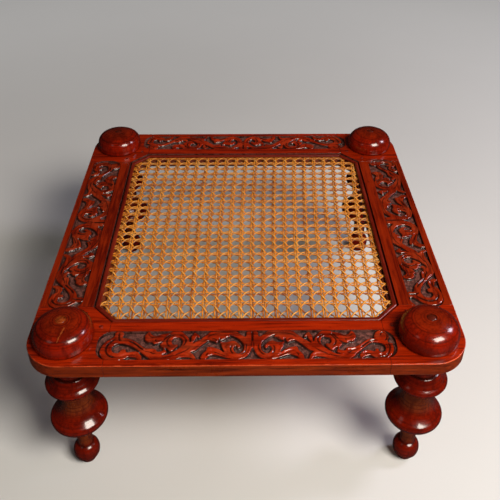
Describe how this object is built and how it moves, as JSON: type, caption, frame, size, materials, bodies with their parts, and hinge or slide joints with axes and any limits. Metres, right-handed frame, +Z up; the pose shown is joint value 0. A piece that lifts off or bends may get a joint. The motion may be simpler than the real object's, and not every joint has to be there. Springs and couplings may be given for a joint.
{
  "type": "low table",
  "caption": "Low square wooden seat with carved rails, turned legs and knobs at the corners, and a woven cane top.",
  "frame": {"origin": "on the floor, under the middle of the seat", "axes": "+Z up, +X to the right, the front rail faces -Y"},
  "size_m": [0.457, 0.47, 0.2262],
  "materials": {
    "frame_lacquer": "gloss red-brown lacquer over grain",
    "turned_lacquer": "high gloss deep red-brown lacquer",
    "bead_lacquer": "worn red-brown lacquer",
    "peg_wood": "raw end grain under thin lacquer",
    "cane": "varnished golden cane"
  },
  "bodies": {
    "root": {"rail_front": "frame_lacquer", "rail_right": "frame_lacquer", "rail_back": "frame_lacquer", "rail_left": "frame_lacquer", "corner_block_front_right": "frame_lacquer", "leg_front_right": "turned_lacquer", "knob_front_right": "turned_lacquer", "corner_block_back_right": "frame_lacquer", "leg_back_right": "turned_lacquer", "knob_back_right": "turned_lacquer", "corner_block_back_left": "frame_lacquer", "leg_back_left": "turned_lacquer", "knob_back_left": "turned_lacquer", "corner_block_front_left": "frame_lacquer", "leg_front_left": "turned_lacquer", "knob_front_left": "turned_lacquer", "peg_front_a": "peg_wood", "peg_front_b": "peg_wood", "peg_right_a": "peg_wood", "peg_right_b": "peg_wood", "peg_back_a": "peg_wood", "peg_back_b": "peg_wood", "peg_left_a": "peg_wood", "peg_left_b": "peg_wood", "bead_front": "bead_lacquer", "bead_front_right": "bead_lacquer", "bead_right": "bead_lacquer", "bead_back_right": "bead_lacquer", "bead_back": "bead_lacquer", "bead_back_left": "bead_lacquer", "bead_left": "bead_lacquer", "bead_front_left": "bead_lacquer", "cane_seat": "cane"}
  },
  "joints": []
}
